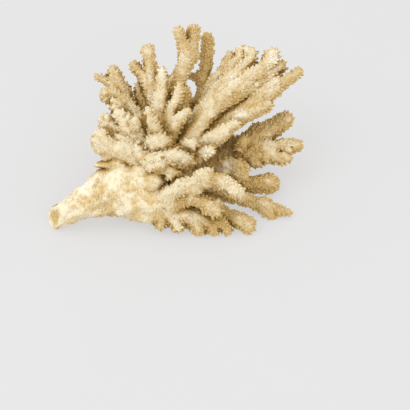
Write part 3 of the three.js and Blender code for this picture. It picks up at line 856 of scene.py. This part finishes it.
def grain_group():
    """Fine limy grain and pores: a noise less the dips of a cell pattern as the height, and the dips alone
    as a mask."""
    number = "NodeSocketFloat"
    tree, given, out = group_tree(
        "coral_grain",
        [("Place", "NodeSocketVector", None), ("Grains per Metre", number, 1800.0),
         ("Pores per Metre", number, 900.0), ("Pore Depth", number, 0.5)],
        [("Height", number), ("Pore", number)])
    place = given.outputs["Place"]
    grain = noise(tree, place, given.outputs["Grains per Metre"], 3.0, 0.6)
    cells = put(tree, "ShaderNodeTexVoronoi", {"Vector": place, "Scale": given.outputs["Pores per Metre"]})
    pore = between(tree, cells.outputs["Distance"], 0.38, 0.12)
    dip = times(tree, pore, given.outputs["Pore Depth"])
    tree.links.new(reckon(tree, "SUBTRACT", grain, dip), out.inputs["Height"])
    tree.links.new(pore, out.inputs["Pore"])
    return tree


def tone_and_shade_group():
    """Cream turned to tan in patches and on the cups' rims and to pale in others, then darkened to brown by
    painted shade low between cups, in their mouths and pores and deep among the limbs."""
    number, colour, white = "NodeSocketFloat", "NodeSocketColor", (1, 1, 1, 1)
    tree, given, out = group_tree(
        "coral_tone_and_shade",
        [("Place", "NodeSocketVector", None),
         ("Cream", colour, white), ("Tan", colour, white), ("Brown", colour, white),
         ("Tan with Light and Shade", number, 0.5), ("Rise", number, 0.0), ("Deep", number, 0.0), ("Pore", number, 0.0),
         ("Hollow Painted Shade", number, 0.5), ("Mouth Painted Shade", number, 0.6),
         ("Patches", number, 1.5), ("Flecks", number, 0.7)],
        [("Colour", colour), ("Painted Shade", number)])
    place, rise, deep = given.outputs["Place"], given.outputs["Rise"], given.outputs["Deep"]
    patches = noise(tree, place, TAN_PATCHES, 3.0)
    flecks = noise(tree, place, TAN_FLECKS, 2.0)
    mottle = sum_of(tree, times(tree, sum_of(tree, patches, -0.5), given.outputs["Patches"]),
                    times(tree, sum_of(tree, flecks, -0.5), given.outputs["Flecks"]))
    rims = between(tree, rise, 0.35, 1.0, 0.0, 0.3)
    tan = between(tree, sum_of(tree, given.outputs["Tan with Light and Shade"], mottle, rims), 0.0, 0.85)
    aged = blend(tree, tan, given.outputs["Cream"], given.outputs["Tan"])
    pale = between(tree, noise(tree, place, PALE_PATCHES, 1.0), 0.56, 0.7)
    aged = blend(tree, times(tree, pale, reckon(tree, "SUBTRACT", 1.0, tan)), aged, PALE)
    # Painted shade: low between cups, in their mouths, deep among the limbs and in the pores.
    hollow = times(tree, between(tree, rise, 0.75, -0.1), given.outputs["Hollow Painted Shade"])
    mouth = times(tree, between(tree, rise, -0.1, -0.9), given.outputs["Mouth Painted Shade"])
    depth = times(tree, deep, sum_of(tree, times(tree, patches, 0.7), 0.75))
    speck = times(tree, given.outputs["Pore"], times(tree, given.outputs["Mouth Painted Shade"], 0.4))
    painted_shade = reckon(tree, "MINIMUM", sum_of(tree, hollow, mouth, depth, speck), DARKEST_SHADE)
    brown = blend(tree, between(tree, deep, 0.7, 1.0), given.outputs["Brown"], DEEP_SHADE_BROWN)
    tree.links.new(blend(tree, painted_shade, aged, brown), out.inputs["Colour"])
    tree.links.new(painted_shade, out.inputs["Painted Shade"])
    return tree


def core_colour(tree, place, colour):
    """The cut face's brown core over the skin's colour, with a ragged edge and darker pits."""
    clouds = noise(tree, place, CORE_CLOUDS, 3.0, 0.7)
    ragged = sum_of(tree, mark(tree, "cut"), times(tree, clouds, 1.6), -0.8)
    core = between(tree, ragged, 0.3, 0.95, 0.0, 0.95)
    pits = between(tree, noise(tree, place, CORE_PITS, 2.0), 0.48, 0.66)
    return blend(tree, core, colour, blend(tree, pits, CORE_TAN, CORE_BROWN))


def coral_material(name, groups, hollow_shade, mouth_shade, patches, flecks, relief, cut_face=False):
    """Matt limy coral: the group of tone and painted shade for its colour, the grain group for its bump."""
    material = bpy.data.materials.new(name)
    material.use_nodes = True
    tree = material.node_tree
    tree.nodes.clear()
    grain_tree, tone_and_shade_tree = groups
    place = put(tree, "ShaderNodeTexCoord").outputs["Object"]
    grain = put(tree, "ShaderNodeGroup", {"Place": place, "Pore Depth": relief}, node_tree=grain_tree)
    tone_and_shade = put(tree, "ShaderNodeGroup", {
        "Place": place, "Cream": CREAM, "Tan": TAN_BUFF, "Brown": BROWN,
        "Tan with Light and Shade": mark(tree, "tan"), "Rise": mark(tree, "rise"), "Deep": mark(tree, "deep"),
        "Pore": grain.outputs["Pore"], "Hollow Painted Shade": hollow_shade, "Mouth Painted Shade": mouth_shade,
        "Patches": patches, "Flecks": flecks,
    }, node_tree=tone_and_shade_tree)
    colour = tone_and_shade.outputs["Colour"]
    if cut_face:
        colour = core_colour(tree, place, colour)
    bump = put(tree, "ShaderNodeBump", {
        "Height": grain.outputs["Height"], "Strength": BUMP_STRENGTH, "Distance": BUMP_DEPTH,
    })
    # Rougher where the painted shade darkens the colour.
    rough = between(tree, tone_and_shade.outputs["Painted Shade"], 0.0, 1.0, PLAIN_ROUGHNESS, SHADED_ROUGHNESS)
    shader = put(tree, "ShaderNodeBsdfPrincipled", {
        "Base Color": colour, "Roughness": rough, "Normal": bump.outputs[0],
        "Specular IOR Level": MATT_SPECULAR,
    })
    put(tree, "ShaderNodeOutputMaterial", {"Surface": shader.outputs[0]})
    return material


groups = grain_group(), tone_and_shade_group()
# Painted shade between the cups and in their mouths and pores: weak on the worn stem, stronger on the cupped
# limbs.
worn = coral_material("worn_coral", groups, hollow_shade=0.04, mouth_shade=0.1, patches=2.3, flecks=0.4,
                      relief=0.4, cut_face=True)
cupped = coral_material("cupped_coral", groups, hollow_shade=0.22, mouth_shade=0.6, patches=1.5,
                        flecks=0.7, relief=0.3)

for limb in dict.fromkeys(row[0] for row in TWIGS):
    on_trunk = limb == "trunk"
    piece = make_piece("coral_" + limb, limb_patches(limb), worn if on_trunk else cupped)
    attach(piece, "root")
    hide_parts(limb)


# ---- floor, light and camera ----

FLOOR_WHITES = (0.20, 0.20, 0.203, 1), (0.215, 0.215, 0.218, 1)
FLOOR_CLOUDS = 6.0
FLOOR_GLOW = 0.52  # the table is lit through from below a little
AIM_OF_LIGHTS = 0, 0, 0.04


def floor_piece(half=3.0, steps=12):
    """A flat square grid on z = 0, matt and almost white with faint clouds."""
    x = np.linspace(-half, half, steps)
    gx, gy = np.meshgrid(x, x, indexing="ij")
    points = np.stack([gx, gy, np.zeros_like(gx)], axis=-1).reshape(-1, 3)
    i, j = np.meshgrid(np.arange(steps - 1), np.arange(steps - 1), indexing="ij")
    a = i * steps + j
    quads = np.stack([a, a + steps, a + steps + 1, a + 1], axis=-1).reshape(-1, 4)
    mesh = bpy.data.meshes.new("floor")
    mesh.from_pydata(points.tolist(), [], quads.tolist())
    material = bpy.data.materials.new("floor_white")
    material.use_nodes = True
    tree = material.node_tree
    shader = tree.nodes["Principled BSDF"]
    clouds = noise(tree, put(tree, "ShaderNodeTexCoord").outputs["Object"], FLOOR_CLOUDS, 2.0)
    tree.links.new(blend(tree, clouds, *FLOOR_WHITES), shader.inputs["Base Color"])
    shader.inputs["Roughness"].default_value = 0.85
    shader.inputs["Emission Color"].default_value = (1.0, 1.0, 1.0, 1)
    shader.inputs["Emission Strength"].default_value = FLOOR_GLOW
    shader.inputs["Specular IOR Level"].default_value = MATT_SPECULAR
    mesh.materials.append(material)
    return add_object("floor", mesh)


def area_light(name, place, size, power, colour):
    """A square soft light at a place, turned to face the coral."""
    data = bpy.data.lights.new(name, "AREA")
    data.size, data.energy, data.color = size, power, colour
    light = add_object(name, data)
    light.location = place
    light.rotation_euler = (Vector(AIM_OF_LIGHTS) - Vector(place)).to_track_quat("-Z", "Y").to_euler()


floor_piece()
area_light("key", (-1.0, -0.45, 1.15), size=1.5, power=8, colour=(1.0, 0.985, 0.96))
area_light("fill", (0.9, -1.5, 0.9), size=1.5, power=7, colour=(1.0, 0.995, 0.98))
world = bpy.data.worlds.new("studio")
world.use_nodes = True
background = world.node_tree.nodes["Background"]
background.inputs["Color"].default_value = (1.0, 0.99, 0.98, 1)
background.inputs["Strength"].default_value = 1.1
bpy.context.scene.world = world

CAMERA_AIM = np.array([111.0, 9.0, 0.0])  # in the growth frame
CAMERA_FAR = 1475.0
FOCAL_WIDTHS = 200 / 41  # focal length, in widths of the frame
SENSOR = 36
camera_data = bpy.data.cameras.new("camera")
camera_data.lens = FOCAL_WIDTHS * SENSOR
camera_data.sensor_width = SENSOR
camera = add_object("camera", camera_data)
camera.location = lay_down(CAMERA_AIM + [0, 0, CAMERA_FAR])
camera.rotation_euler = (LAY_BACK, 0, 0)
bpy.context.scene.camera = camera
bpy.context.scene.view_settings.view_transform = "Standard"
